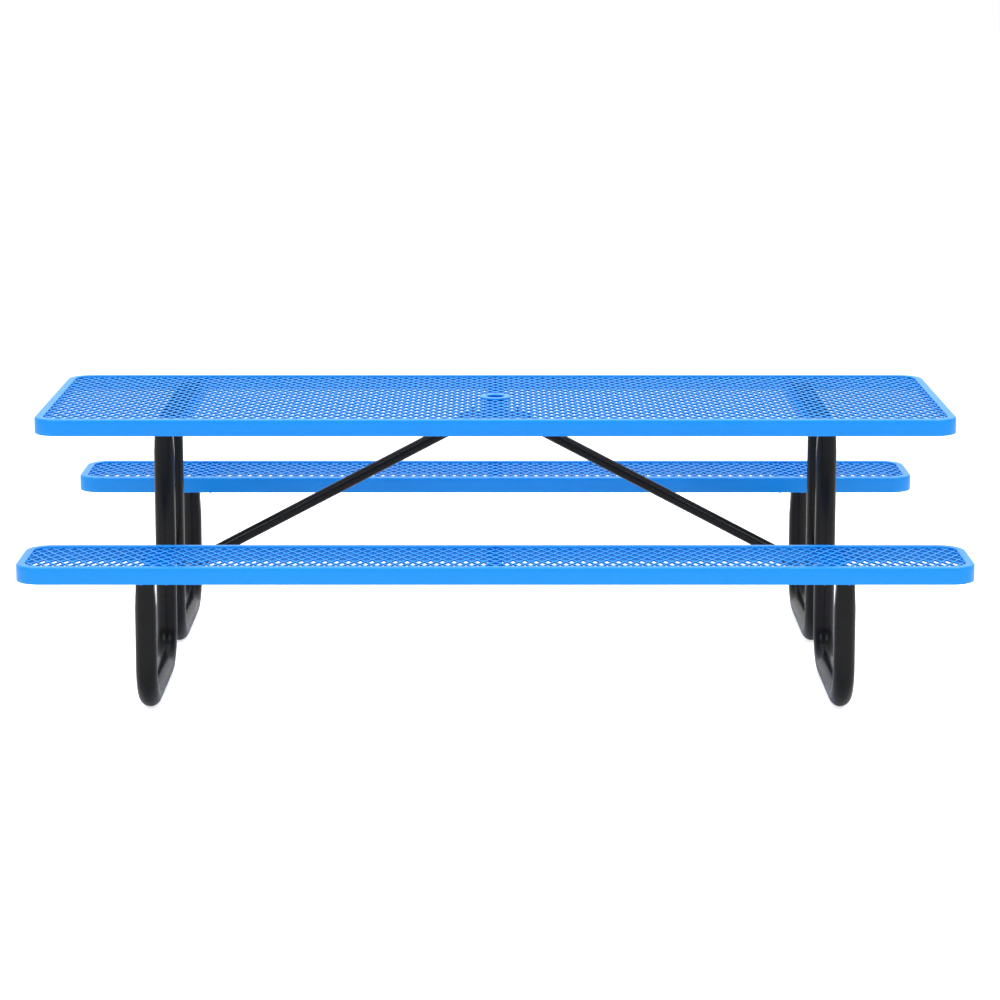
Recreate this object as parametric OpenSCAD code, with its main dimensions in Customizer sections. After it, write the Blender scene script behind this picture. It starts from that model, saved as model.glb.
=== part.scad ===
// Eight-foot rectangular picnic table with two fixed benches.
// The tabletop and the benches are trays of coated expanded metal in a rim of formed angle.
// Two end frames of U-bent tube carry them, and two diagonal tubes brace the frames to the
// umbrella collar. Length runs along X, depth along Y, and the ground is Z = 0.

/* [Tabletop] */
// Length of the tabletop
table_length = 2438; // [1800:2:3000]
// Depth of the tabletop
table_depth = 762; // [620:2:920]
// Height of the tabletop's rim above the ground
table_height = 737; // [610:1:890]

/* [Benches] */
// Length of each bench
bench_length = 2438; // [1900:2:3000]
// Depth of each bench
bench_depth = 279; // [220:1:340]
// Height of each bench's rim above the ground
seat_height = 420; // [350:1:510]
// Open width between the tabletop and a bench, seen from above
bench_gap = 76; // [50:1:160]

/* [Rims] */
// Height of the rim's outer skirt
rim_height = 44; // [38:1:60]
// Width of the rim's top flange
rim_flange = 23; // [16:1:30]
// Thickness of the coated rim angle
rim_gauge = 4; // [3:0.5:6]
// Radius of the rim's corners, seen from above
corner_radius = 66; // [45:1:90]
// Radius of the rim's rolled outer edge
rolled_edge = 5; // [2:0.5:8]
// Thickness of the expanded metal, coating included
mesh_thickness = 4; // [3:0.5:6]
// Width of the flat strap under the middle of each tray
strap_width = 36; // [25:1:60]
// Thickness of the straps, bars and channels under the trays
strap_gauge = 5; // [3:0.5:7]

/* [Umbrella collar] */
// Bore that the umbrella pole passes through
umbrella_bore = 49; // [39:0.5:55]
// Outer diameter of the sleeve under the collar's flange
sleeve_diameter = 64; // [60:0.5:76]
// Wall of the sleeve
sleeve_wall = 3.5; // [2:0.5:5]
// How far the sleeve reaches below the tabletop's rim
sleeve_drop = 85; // [70:1:110]
// Diameter of the collar's flange
collar_diameter = 88; // [80:1:110]
// Thickness of the collar's flange
collar_thickness = 5; // [3:0.5:8]

/* [End frames] */
// Distance from the middle of the table to each end frame
frame_reach = 900; // [600:2:1000]
// Distance from the middle of the table to each tall leg
tall_leg_reach = 112; // [90:1:160]
// Outer diameter of the leg tube
leg_diameter = 56; // [42:1:64]
// Wall of the leg tube
leg_wall = 3; // [2:0.25:4]
// Radius of the leg bends, at the tube's centreline
bend_radius = 100; // [80:1:140]
// How far below a tray's rim the flattened leg end stops
leg_top_drop = 28; // [26:1:32]
// Height of the flattened leg end
flat_height = 18; // [16:1:24]
// Height over which the tube turns from flat to oval
pinch_height = 27; // [20:1:40]
// Height over which the tube turns from oval to round
taper_height = 77; // [60:1:100]
// Width of the channels that the legs bolt to
channel_width = 68; // [56:1:90]
// Length of the two channels under the tabletop
rail_length = 560; // [460:2:600]

/* [Braces] */
// Height of the cross-ties above the ground
tie_height = 250; // [200:1:300]
// Outer diameter of the cross-ties
tie_diameter = 32; // [25:1:40]
// Outer diameter of the brace tube
brace_diameter = 32; // [25:1:40]
// Wall of the braces and cross-ties
brace_wall = 2.5; // [1.5:0.25:3]
// Distance from the cross-tie's axis to the brace's lower bolt
lower_bolt_reach = 50; // [45:1:70]
// Height of the brace's lower bolt above the cross-tie's axis
lower_bolt_rise = 13; // [0:1:20]
// Distance from the umbrella sleeve's wall to the brace's upper bolt
upper_bolt_reach = 30; // [26:1:40]
// How far the brace's upper bolt is below the tabletop's rim
upper_bolt_drop = 59; // [50:1:65]
// Height of the lug plates
lug_height = 34; // [28:1:44]
// Thickness of the lug plates
lug_gauge = 6; // [4:0.5:8]

/* [Fasteners] */
// Thread diameter of the bolts
bolt_diameter = 8; // [6:0.5:10]
// Thickness of the bolt heads
head_height = 5.3; // [4:0.1:7]
// Thickness of the nuts
nut_height = 6.5; // [5:0.1:8]
// Thickness of the washers
washer_gauge = 1.6; // [1:0.1:2.5]
// Difference between a bolt and its hole, across the diameter
hole_clearance = 1; // [0.4:0.1:1.5]

/* [Hidden] */

coat_blue = [0.10, 0.45, 0.95];
frame_black = [0.06, 0.06, 0.07];
bolt_steel = [0.62, 0.63, 0.65];

fine = 96;          // sides drawn on round tubes
hull_sides = 32;    // sides of the outlines that a hull joins
sliver = 0.2;       // thickness of the outlines that a hull joins
weld_gap = 0.3;     // room left where a shaped edge meets a tube

bench_offset = table_depth / 2 + bench_gap + bench_depth / 2;
mesh_top_drop = rim_gauge;
mesh_base_drop = mesh_top_drop + mesh_thickness;

leg_radius = leg_diameter / 2;
flat_gauge = 2 * leg_wall;
flat_width = PI * leg_diameter / 2 - leg_wall;
oval_narrow = 0.86 * leg_diameter;
oval_wide = 2 * leg_diameter - oval_narrow;
round_drop = leg_top_drop + flat_height + pinch_height + taper_height;
leg_bolt_drop = leg_top_drop + flat_height / 2;
bend_height = leg_radius + bend_radius;

channel_outer = frame_reach - flat_gauge / 2;
channel_inner = channel_outer - channel_width;
channel_base_drop = leg_bolt_drop + flat_height / 2;
bar_inner = channel_inner - strap_gauge;
bar_bolt_drop = mesh_base_drop + (rim_height - mesh_base_drop) * 0.55;
rail_bolt_reach = rail_length / 2 - 50;

brace_flat = 2 * brace_wall;
brace_flat_width = PI * brace_diameter / 2 - brace_wall;
lower_bolt = [frame_reach - lower_bolt_reach, tie_height + lower_bolt_rise];
upper_bolt = [sleeve_diameter / 2 + upper_bolt_reach, table_height - upper_bolt_drop];
brace_run = lower_bolt.x - upper_bolt.x;
brace_rise = upper_bolt.y - lower_bolt.y;
brace_span = sqrt(brace_run * brace_run + brace_rise * brace_rise);
brace_slope = atan2(brace_rise, brace_run);
brace_end = bolt_diameter + 6;          // from a bolt's axis to the brace's tip
brace_taper = 1.4 * brace_diameter;     // length over which a brace turns from flat to round
lug_margin = bolt_diameter + 6;         // from a bolt's axis to the lug's free edge
brace_plate = lug_margin + lug_height / 2;  // from a bolt's axis to where a brace's taper starts

bolt_hole = bolt_diameter + hole_clearance;
across_flats = 1.625 * bolt_diameter;
head_width = across_flats / cos(30);
thread_stub = 3;                        // thread that shows past a nut
washer_width = 2 * bolt_diameter;

// ---- shared shapes ---------------------------------------------------------------------

// Copies the children to the right end, or mirrors them to the left end.
module at_end(side) {
    mirror([side < 0 ? 1 : 0, 0, 0]) children();
}

// Copies the children to the rear half, or mirrors them to the front half.
module at_half(half) {
    mirror([0, half < 0 ? 1 : 0, 0]) children();
}

// A flat outline with rounded corners, centred on the origin.
module rounded_outline(length, depth, radius) {
    square([length - 2 * radius, depth], center = true);
    square([length, depth - 2 * radius], center = true);
    for (x = [-1, 1], y = [-1, 1]) {
        translate([x * (length / 2 - radius), y * (depth / 2 - radius)])
            circle(radius, $fn = fine);
    }
}

// Section of the rim: a flange and a skirt that meet in a rolled edge. The skirt's outer
// face is one corner radius from the section's axis.
module rim_section() {
    intersection() {
        union() {
            translate([corner_radius - rim_gauge, -rim_height])
                square([rim_gauge, rim_height]);
            translate([corner_radius - rim_flange, -rim_gauge])
                square([rim_flange, rim_gauge]);
        }
        union() {
            translate([corner_radius - rim_flange, -rim_height])
                square([rim_flange, rim_height - rolled_edge]);
            translate([corner_radius - rim_flange, -rim_height])
                square([rim_flange - rolled_edge, rim_height]);
            translate([corner_radius - rolled_edge, -rolled_edge])
                circle(rolled_edge, $fn = fine);
        }
    }
}

// One rim: four straight runs and four quarter turns.
module rim(length, depth) {
    half_run = [length / 2 - corner_radius, depth / 2 - corner_radius];
    for (turn = [0:3]) {
        along = half_run[turn % 2];
        across = half_run[(turn + 1) % 2];
        rotate([0, 0, 90 * turn]) {
            translate([-along, across, 0])
                rotate([90, 0, 90])
                    linear_extrude(2 * along) rim_section();
            translate([along, across, 0])
                rotate_extrude(angle = 90, $fn = fine) rim_section();
        }
    }
}

// The expanded metal, as one closed sheet under the rim's flange.
module mesh_sheet(length, depth) {
    inset = rim_gauge + weld_gap;
    translate([0, 0, -mesh_base_drop])
        linear_extrude(mesh_thickness)
            rounded_outline(length - 2 * inset, depth - 2 * inset, corner_radius - inset);
}

// A flat strap across a tray, from skirt to skirt.
module strap(depth) {
    run = depth - 2 * rim_gauge;
    translate([-strap_width / 2, -run / 2, -mesh_base_drop - strap_gauge])
        cube([strap_width, run, strap_gauge]);
}

// A channel that opens downwards, under the right end of a tray.
module channel(length) {
    height = channel_base_drop - mesh_base_drop;
    translate([channel_inner, -length / 2, -channel_base_drop]) {
        difference() {
            cube([channel_width, length, height]);
            translate([strap_gauge, -1, -1])
                cube([channel_width - 2 * strap_gauge, length + 2, height - strap_gauge + 1]);
        }
    }
}

// A hole along X, centred on the plane x.
module hole_along_x(x, y, z) {
    translate([x - 2 * strap_gauge, y, z])
        rotate([0, 90, 0])
            cylinder(d = bolt_hole, h = 4 * strap_gauge, $fn = fine);
}

// Flattened tube: a slot outline, thin along X.
module flat_outline(thickness, width) {
    square([thickness, width - thickness], center = true);
    for (y = [-1, 1]) {
        translate([0, y * (width - thickness) / 2]) circle(d = thickness, $fn = hull_sides);
    }
}

// ---- legs ------------------------------------------------------------------------------

// Oval cross-section of a tube that is being flattened, as a thin slice.
module oval_slice(narrow, wide) {
    linear_extrude(sliver) scale([narrow, wide]) circle(d = 1, $fn = hull_sides);
}

// Round to oval: the lower part of a leg's tapered end. Its base is at Z = 0.
module taper_skin(shrink) {
    hull() {
        oval_slice(leg_diameter - shrink, leg_diameter - shrink);
        translate([0, 0, taper_height - sliver])
            oval_slice(oval_narrow - shrink, oval_wide - shrink);
    }
}

// Tapered and flattened leg end. Its base is at Z = 0.
module leg_end() {
    difference() {
        taper_skin(0);
        taper_skin(2 * leg_wall);
    }
    translate([0, 0, taper_height]) {
        hull() {
            oval_slice(oval_narrow, oval_wide);
            translate([0, 0, pinch_height - sliver])
                linear_extrude(sliver) flat_outline(flat_gauge, flat_width);
        }
    }
    translate([0, 0, taper_height + pinch_height]) {
        difference() {
            linear_extrude(flat_height) flat_outline(flat_gauge, flat_width);
            hole_along_x(0, 0, flat_height / 2);
        }
    }
}

// Wall of the leg tube, as a ring.
module leg_ring() {
    difference() {
        circle(d = leg_diameter, $fn = fine);
        circle(d = leg_diameter - 2 * leg_wall, $fn = fine);
    }
}

// Quarter bend from the floor run up into the leg that stands at Y = 0.
module leg_bend() {
    translate([0, bend_radius, bend_height])
        rotate([90, 0, -90])
            rotate_extrude(angle = 90, start = 270, $fn = fine)
                translate([bend_radius, 0]) leg_ring();
}

// Upright tube from the bend to its flattened end under a rim at the given height.
module upright(rim_level) {
    top = rim_level - round_drop;
    translate([0, 0, bend_height])
        linear_extrude(top - bend_height) leg_ring();
    translate([0, 0, top]) leg_end();
}

// One U-bent leg at the right rear: a short upright under the bench, a run along the
// ground and a tall upright under the table.
module leg() {
    run_start = tall_leg_reach + bend_radius;
    run_end = bench_offset - bend_radius;
    translate([frame_reach, tall_leg_reach, 0]) {
        upright(table_height);
        leg_bend();
    }
    translate([frame_reach, run_start, leg_radius])
        rotate([-90, 0, 0])
            linear_extrude(run_end - run_start) leg_ring();
    translate([frame_reach, bench_offset, 0]) {
        upright(seat_height);
        mirror([0, 1, 0]) leg_bend();
    }
}

// ---- trays -----------------------------------------------------------------------------

module tabletop_rim() {
    color(coat_blue) translate([0, 0, table_height]) rim(table_length, table_depth);
}

module tabletop_mesh() {
    color(coat_blue) translate([0, 0, table_height]) {
        difference() {
            mesh_sheet(table_length, table_depth);
            translate([0, 0, -2 * mesh_base_drop])
                cylinder(d = sleeve_diameter + 2 * weld_gap, h = 3 * mesh_base_drop, $fn = fine);
        }
    }
}

module tabletop_strap() {
    color(coat_blue) translate([0, 0, table_height]) {
        difference() {
            strap(table_depth);
            translate([0, 0, -2 * rim_height])
                cylinder(d = sleeve_diameter + 2 * weld_gap, h = 2 * rim_height, $fn = fine);
        }
    }
}

// Upright bar across the tabletop, which carries the rail.
module tabletop_bar(side) {
    run = table_depth - 2 * rim_gauge;
    color(coat_blue) at_end(side) translate([0, 0, table_height]) {
        difference() {
            translate([bar_inner, -run / 2, -rim_height])
                cube([strap_gauge, run, rim_height - mesh_base_drop]);
            for (half = [-1, 1]) {
                hole_along_x(channel_inner, half * rail_bolt_reach, -bar_bolt_drop);
            }
        }
    }
}

module umbrella_collar() {
    base = table_height - mesh_top_drop;
    color(coat_blue) {
        translate([0, 0, base]) {
            rotate_extrude($fn = fine) {
                translate([umbrella_bore / 2, 0])
                    square([(collar_diameter - umbrella_bore) / 2, collar_thickness]);
            }
        }
        translate([0, 0, table_height - sleeve_drop]) {
            rotate_extrude($fn = fine) {
                translate([sleeve_diameter / 2 - sleeve_wall, 0])
                    square([sleeve_wall, sleeve_drop - mesh_top_drop]);
            }
        }
    }
}

module bench_rim(half) {
    color(coat_blue) translate([0, half * bench_offset, seat_height])
        rim(bench_length, bench_depth);
}

module bench_mesh(half) {
    color(coat_blue) translate([0, half * bench_offset, seat_height])
        mesh_sheet(bench_length, bench_depth);
}

module bench_strap(half) {
    color(coat_blue) translate([0, half * bench_offset, seat_height]) strap(bench_depth);
}

// Channel across a bench, with the hole for the leg's bolt.
module bench_channel(half, side) {
    color(coat_blue) at_end(side) at_half(half) translate([0, bench_offset, seat_height]) {
        difference() {
            channel(bench_depth - 2 * rim_gauge);
            hole_along_x(channel_outer, 0, -leg_bolt_drop);
        }
    }
}

// ---- end frames ------------------------------------------------------------------------

// Channel under the tabletop, bolted to both tall legs and to the tabletop's bar.
module rail(side) {
    color(frame_black) at_end(side) translate([0, 0, table_height]) {
        difference() {
            channel(rail_length);
            for (half = [-1, 1]) {
                hole_along_x(channel_outer, half * tall_leg_reach, -leg_bolt_drop);
                hole_along_x(channel_inner, half * rail_bolt_reach, -bar_bolt_drop);
            }
        }
    }
}

module placed_leg(half, side) {
    color(frame_black) at_end(side) at_half(half) leg();
}

// Tube between the two tall legs, with its ends shaped to their walls.
module tie(side) {
    color(frame_black) at_end(side) translate([frame_reach, 0, tie_height]) {
        difference() {
            rotate([90, 0, 0])
                cylinder(d = tie_diameter, h = 2 * tall_leg_reach, center = true, $fn = fine);
            rotate([90, 0, 0])
                cylinder(d = tie_diameter - 2 * brace_wall, h = 2 * tall_leg_reach + 2,
                    center = true, $fn = fine);
            for (half = [-1, 1]) {
                translate([0, half * tall_leg_reach, 0])
                    cylinder(d = leg_diameter + 2 * weld_gap, h = 2 * tie_diameter,
                        center = true, $fn = fine);
            }
        }
    }
}

// ---- braces ----------------------------------------------------------------------------

// Flattened brace end, thin along Y, with its bolt on the origin and its tube towards +X.
module brace_end_plate() {
    difference() {
        translate([-brace_end, -brace_flat / 2, -brace_flat_width / 2])
            cube([brace_end + brace_plate, brace_flat, brace_flat_width]);
        rotate([90, 0, 0])
            cylinder(d = bolt_hole, h = 2 * brace_diameter, center = true, $fn = fine);
    }
    hull() {
        translate([brace_plate, -brace_flat / 2, -brace_flat_width / 2])
            cube([sliver, brace_flat, brace_flat_width]);
        translate([brace_plate + brace_taper, 0, 0])
            rotate([0, 90, 0])
                cylinder(d = brace_diameter, h = sliver, $fn = hull_sides);
    }
}

// Right brace, from the upper bolt down and out to the lower bolt.
module brace(side) {
    tube_start = brace_plate + brace_taper;
    tube_length = brace_span - 2 * tube_start;
    color(frame_black) at_end(side) translate([upper_bolt.x, 0, upper_bolt.y])
        rotate([0, brace_slope, 0]) {
            brace_end_plate();
            translate([brace_span, 0, 0]) mirror([1, 0, 0]) brace_end_plate();
            translate([tube_start, 0, 0])
                rotate([0, 90, 0])
                    difference() {
                        cylinder(d = brace_diameter, h = tube_length, $fn = fine);
                        translate([0, 0, -1])
                            cylinder(d = brace_diameter - 2 * brace_wall,
                                h = tube_length + 2, $fn = fine);
                    }
        }
}

// Upright plate behind a brace end, from x_start to the free edge past its bolt.
module lug_plate(x_start, x_end, bolt) {
    difference() {
        translate([x_start, brace_flat / 2, bolt.y - lug_height / 2])
            cube([x_end - x_start, lug_gauge, lug_height]);
        translate([bolt.x, 0, bolt.y])
            rotate([-90, 0, 0])
                cylinder(d = bolt_hole, h = 4 * lug_gauge, $fn = fine);
    }
}

module lower_lugs() {
    color(frame_black) for (side = [-1, 1]) at_end(side) {
        difference() {
            lug_plate(lower_bolt.x - lug_margin, frame_reach, lower_bolt);
            translate([frame_reach, 0, tie_height])
                rotate([90, 0, 0])
                    cylinder(d = tie_diameter + 2 * weld_gap, h = 2 * tall_leg_reach,
                        center = true, $fn = fine);
            translate([frame_reach - tie_diameter / 4, 0, tie_height])
                cube([tie_diameter, 2 * tall_leg_reach, 4 * lug_height], center = false);
            translate([frame_reach - tie_diameter / 4, 0, tie_height - 2 * lug_height])
                cube([tie_diameter, 2 * tall_leg_reach, 4 * lug_height]);
        }
    }
}

module upper_lugs() {
    color(coat_blue) for (side = [-1, 1]) at_end(side) {
        difference() {
            lug_plate(0, upper_bolt.x + lug_margin, upper_bolt);
            translate([0, 0, table_height - 2 * sleeve_drop])
                cylinder(d = sleeve_diameter + 2 * weld_gap, h = 2 * sleeve_drop, $fn = fine);
        }
    }
}

// ---- fasteners -------------------------------------------------------------------------

// Hexagonal bolt along +Z: its seat is at Z = 0 and its head is below.
module bolt(grip) {
    translate([0, 0, -head_height]) cylinder(d = head_width, h = head_height, $fn = 6);
    cylinder(d = bolt_diameter, h = grip + nut_height + thread_stub, $fn = fine);
}

// Hexagonal nut along +Z, with its seat at Z = 0.
module nut() {
    difference() {
        cylinder(d = head_width, h = nut_height, $fn = 6);
        translate([0, 0, -1])
            cylinder(d = bolt_diameter + weld_gap, h = nut_height + 2, $fn = fine);
    }
}

// Round washer along +Z, from Z = 0 up.
module washer() {
    difference() {
        cylinder(d = washer_width, h = washer_gauge, $fn = fine);
        translate([0, 0, -1])
            cylinder(d = bolt_hole, h = washer_gauge + 2, $fn = fine);
    }
}

// Puts the children on each of the eight leg bolts, with +Z towards the table's middle.
// The offset is measured inwards from the leg end's outer face.
module at_leg_bolts(offset) {
    seats = [
        [tall_leg_reach, table_height - leg_bolt_drop],
        [bench_offset, seat_height - leg_bolt_drop]];
    for (side = [-1, 1], half = [-1, 1], seat = seats) {
        at_end(side) translate([frame_reach + flat_gauge / 2 - offset, half * seat.x, seat.y])
            rotate([0, -90, 0]) children();
    }
}

// Puts the children on each of the four rail bolts, with +Z towards the table's middle.
// The offset is measured inwards from the inside of the rail's flange.
module at_rail_bolts(offset) {
    for (side = [-1, 1], half = [-1, 1]) {
        at_end(side)
            translate([channel_inner + strap_gauge - offset, half * rail_bolt_reach,
                    table_height - bar_bolt_drop])
                rotate([0, -90, 0]) children();
    }
}

// Puts the children on each of the four brace bolts, with +Z towards the rear.
// The offset is measured from the front face of the brace's end.
module at_brace_bolts(offset) {
    for (side = [-1, 1], seat = [lower_bolt, upper_bolt]) {
        at_end(side) translate([seat.x, offset - brace_flat / 2, seat.y])
            rotate([-90, 0, 0]) children();
    }
}

module frame_washers() {
    color(bolt_steel) at_leg_bolts(-washer_gauge) washer();
}

module frame_bolts() {
    color(bolt_steel) at_leg_bolts(-washer_gauge) bolt(washer_gauge + flat_gauge + strap_gauge);
}

module frame_nuts() {
    color(bolt_steel) at_leg_bolts(flat_gauge + strap_gauge) nut();
}

module rail_bolts() {
    color(bolt_steel) at_rail_bolts(0) bolt(2 * strap_gauge);
}

module rail_nuts() {
    color(bolt_steel) at_rail_bolts(2 * strap_gauge) nut();
}

module brace_bolts() {
    color(bolt_steel) at_brace_bolts(0) bolt(brace_flat + lug_gauge);
}

module brace_nuts() {
    color(bolt_steel) at_brace_bolts(brace_flat + lug_gauge) nut();
}

tabletop_rim();
tabletop_mesh();
tabletop_strap();
tabletop_bar(-1);  // tabletop_bar_left
tabletop_bar(1);  // tabletop_bar_right
umbrella_collar();
bench_rim(-1);  // front_bench_rim
bench_mesh(-1);  // front_bench_mesh
bench_strap(-1);  // front_bench_strap
bench_rim(1);  // rear_bench_rim
bench_mesh(1);  // rear_bench_mesh
bench_strap(1);  // rear_bench_strap
bench_channel(-1, -1);  // front_channel_left
bench_channel(-1, 1);  // front_channel_right
bench_channel(1, -1);  // rear_channel_left
bench_channel(1, 1);  // rear_channel_right
rail(-1);  // rail_left
rail(1);  // rail_right
placed_leg(-1, -1);  // front_leg_left
placed_leg(-1, 1);  // front_leg_right
placed_leg(1, -1);  // rear_leg_left
placed_leg(1, 1);  // rear_leg_right
tie(-1);  // tie_left
tie(1);  // tie_right
brace(-1);  // brace_left
brace(1);  // brace_right
lower_lugs();
upper_lugs();
frame_bolts();
frame_washers();
frame_nuts();
rail_bolts();
rail_nuts();
brace_bolts();
brace_nuts();
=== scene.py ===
"""Rectangular picnic table in coated expanded metal on bent tube end frames."""

import math

import bmesh
import bpy
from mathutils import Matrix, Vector


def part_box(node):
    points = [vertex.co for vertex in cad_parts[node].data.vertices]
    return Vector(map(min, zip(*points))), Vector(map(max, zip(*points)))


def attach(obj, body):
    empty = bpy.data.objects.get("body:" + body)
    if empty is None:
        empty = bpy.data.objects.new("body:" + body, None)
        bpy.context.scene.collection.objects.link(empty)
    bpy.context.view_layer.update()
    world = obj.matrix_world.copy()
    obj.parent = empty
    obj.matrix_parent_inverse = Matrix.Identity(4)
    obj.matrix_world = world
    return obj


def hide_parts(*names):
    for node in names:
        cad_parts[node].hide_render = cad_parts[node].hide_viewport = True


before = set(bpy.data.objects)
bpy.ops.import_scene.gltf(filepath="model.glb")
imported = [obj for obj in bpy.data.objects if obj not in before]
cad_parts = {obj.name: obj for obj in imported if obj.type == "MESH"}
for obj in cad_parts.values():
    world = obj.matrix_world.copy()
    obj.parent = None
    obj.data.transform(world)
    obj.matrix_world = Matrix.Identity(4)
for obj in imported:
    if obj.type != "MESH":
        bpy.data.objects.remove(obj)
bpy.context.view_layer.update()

# ---- sizes, in metres ----------------------------------------------------------------

MM = 0.001
# How near two places have to be to count as the same one.
NEAR = 0.01 * MM
TOUCHING = 0.001 * MM

# A part of a face's normal above this counts as facing that way.
FACING = 0.5

X, Y, Z = range(3)
# The four quarters of the table or of one mesh bond, as signs along X and Y.
QUARTERS = ((-1, -1), (-1, 1), (1, -1), (1, 1))

# Rims: formed angle with a thick coating.
RIM_FLANGE = 23 * MM
RIM_GAUGE = 4 * MM
RIM_ROLL = 5 * MM
RIM_CORNER = 66 * MM
CORNER_STEPS = 14
COATED_EDGE = 1.3 * MM

# Expanded metal: diamonds, longer across the tray than along it.
DIAMOND_LENGTH = 30.0 * MM
DIAMOND_DEPTH = 48.0 * MM
STRAND_WIDTH = 4.6 * MM
STRAND_EDGE = 0.9 * MM
BOND_LENGTH = 6.0 * MM
BOND_HALF_WIDTH = 1.05 * STRAND_WIDTH
# The strands' coating, which merges with the flange above and the straps below.
STRAND_COAT = 0.6 * MM
# Distances under which the vertices of adjoining bonds, or of a cut patch, become one.
BOND_WELD = 0.05 * MM
PATCH_WELD = 0.02 * MM
# Directions of the three straight cuts that follow a tray's round corner.
CORNER_CUTS = [math.radians(angle) for angle in (22.5, 45, 67.5)]

# Umbrella collar.
BORE_RADIUS = 24.5 * MM
SLEEVE_RADIUS = 32 * MM
SLEEVE_WALL = 3.5 * MM
SLEEVE_EDGE = 0.8 * MM
COLLAR_RADIUS = 44 * MM
COLLAR_THICKNESS = 5 * MM
COLLAR_EDGE = 1.6 * MM
COLLAR_SIDES = 96
SLEEVE_CUTTER_SIDES = 48
SLEEVE_CUTTER_DEPTH = 100 * MM

# Legs.
LEG_SIDES = 32
LEG_RADIUS = 28 * MM
LEG_WALL = 3 * MM
LEG_OVAL = 48.2 * MM
LEG_TOP_DROP = 28 * MM
BEND_RADIUS = 100 * MM
BEND_STEPS = 14
SUPPORT_SPAN = 4 * MM
TUBE_EDGE = 0.6 * MM
FLAT_HEIGHT = 18 * MM
PINCH_HEIGHT = 27 * MM
PINCH_STEPS = 7
PINCH_POWER = 1.2
TAPER_HEIGHT = 77 * MM
TAPER_STEPS = 5
BEAD_RADIUS = 2.6 * MM
BEAD_STEPS = (36, 8)
BEAD_RIPPLES = 14
BEAD_RIPPLE = 0.15

# Braces, cross-ties and the braces' lugs.
BRACE_SIDES = 24
BRACE_RADIUS = 16 * MM
BRACE_WALL = 2.5 * MM
BRACE_PLATE = 31 * MM
BRACE_TAPER = 44.8 * MM
BRACE_TAPER_STEPS = 9
BRACE_TIP = 14 * MM
UPPER_BOLT_REACH = 30 * MM
LUG_GAUGE = 6 * MM
LUG_MARGIN = 14 * MM
LUG_CORNER = 9 * MM
LUG_EDGE = 0.6 * MM

# Flat stock and formed channels.
STOCK_GAUGE = 5 * MM
STOCK_BEND = 5.5 * MM
STOCK_EDGE = 0.8 * MM
CHANNEL_EDGE = 0.7 * MM

# Fasteners.
BOLT_RADIUS = 4 * MM
BOLT_SIDES = 20
HEAD_FLATS = 13 * MM
HEAD_CORNERS = HEAD_FLATS / math.cos(math.radians(30))
HEAD_HEIGHT = 5.3 * MM
HEAD_CHAMFER = 1.1 * MM
TURNING_SIDES = 48
TURNING_MARGIN = 0.05 * MM
NUT_HEIGHT = 6.5 * MM
THREAD_STUB = 3 * MM
THREAD_PITCH = 1.25 * MM
THREAD_ROOT = 0.88
# How far the rod reaches into the head, and its thread into the nut.
ROD_OVERLAP = 0.5 * MM
WASHER_RADIUS = 8 * MM
WASHER_GAUGE = 1.6 * MM
WASHER_PLAY = 0.3 * MM
WASHER_EDGE = 0.3 * MM
WASHER_SIDES = 32

# ---- looks of the studio -------------------------------------------------------------

WHITE = (1, 1, 1, 1)
GREY = (0.5, 0.5, 0.5, 1)

# The studio is bright towards this direction and dim opposite to it.
STUDIO_BRIGHT_SIDE = (0, 0.8, 0.6)
STUDIO_BRIGHT = 1.0
STUDIO_DIM = 0.34
STUDIO_FADE = (-0.2, 0.75)

FLOOR_SIZE = 80
FLOOR_DROP = 0.5 * MM
FLOOR_COLOR = (0.93, 0.93, 0.93, 1)
FLOOR_ROUGHNESS = 0.85
FLOOR_SPECULAR = 0.1
FLOOR_LIFT = 0.65

# Name, place, size and power of each softbox.
SOFTBOXES = (
    ("overhead_softbox", (0, 0.6, 4.2), (6, 4), 130),
    ("front_left_softbox", (-4.5, -5.5, 5.0), (2.6, 2.6), 175),
    ("front_right_softbox", (4.5, -5.5, 5.0), (2.6, 2.6), 175),
)
SOFTBOX_AIM = (0, 0, 0.45)

# Camera on the front bench's side.
CAMERA_DISTANCE = 8.116
CAMERA_HEIGHT = 2.0824
CAMERA_PITCH = math.radians(8.528)
CAMERA_LENS = 107.72
CAMERA_SHIFT = (0.0047, -0.15)
CAMERA_SENSOR = 36
CAMERA_REACH = 200


# ---- modelling helpers ---------------------------------------------------------------


def deselect_all():
    if bpy.context.mode != "OBJECT":
        bpy.ops.object.mode_set(mode="OBJECT")
    bpy.ops.object.select_all(action="DESELECT")


def pick(*pieces):
    """Selects these pieces alone, with the first one active."""
    deselect_all()
    for piece in pieces:
        piece.select_set(True)
    bpy.context.view_layer.objects.active = pieces[0]


def edit(piece):
    """Opens one piece for editing, with nothing else selected."""
    pick(piece)
    bpy.ops.object.mode_set(mode="EDIT")


def close():
    bpy.ops.object.mode_set(mode="OBJECT")


def select(kind, test):
    """Selects the vertices, edges or faces of the piece being edited that pass a test."""
    piece = bpy.context.edit_object
    mesh = bmesh.from_edit_mesh(piece.data)
    modes = [kind == name for name in ("verts", "edges", "faces")]
    bpy.context.tool_settings.mesh_select_mode = modes
    for part in (mesh.verts, mesh.edges, mesh.faces):
        for element in part:
            element.select = False
    for element in getattr(mesh, kind):
        if test(element):
            element.select_set(True)
    mesh.select_flush_mode()
    bmesh.update_edit_mesh(piece.data)


def select_everything():
    bpy.ops.mesh.select_all(action="SELECT")


def face_outward():
    select_everything()
    bpy.ops.mesh.normals_make_consistent(inside=False)


def middle_of(edge):
    return (edge.verts[0].co + edge.verts[1].co) / 2


def is_upright(face):
    return abs(face.normal.z) < FACING


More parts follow.
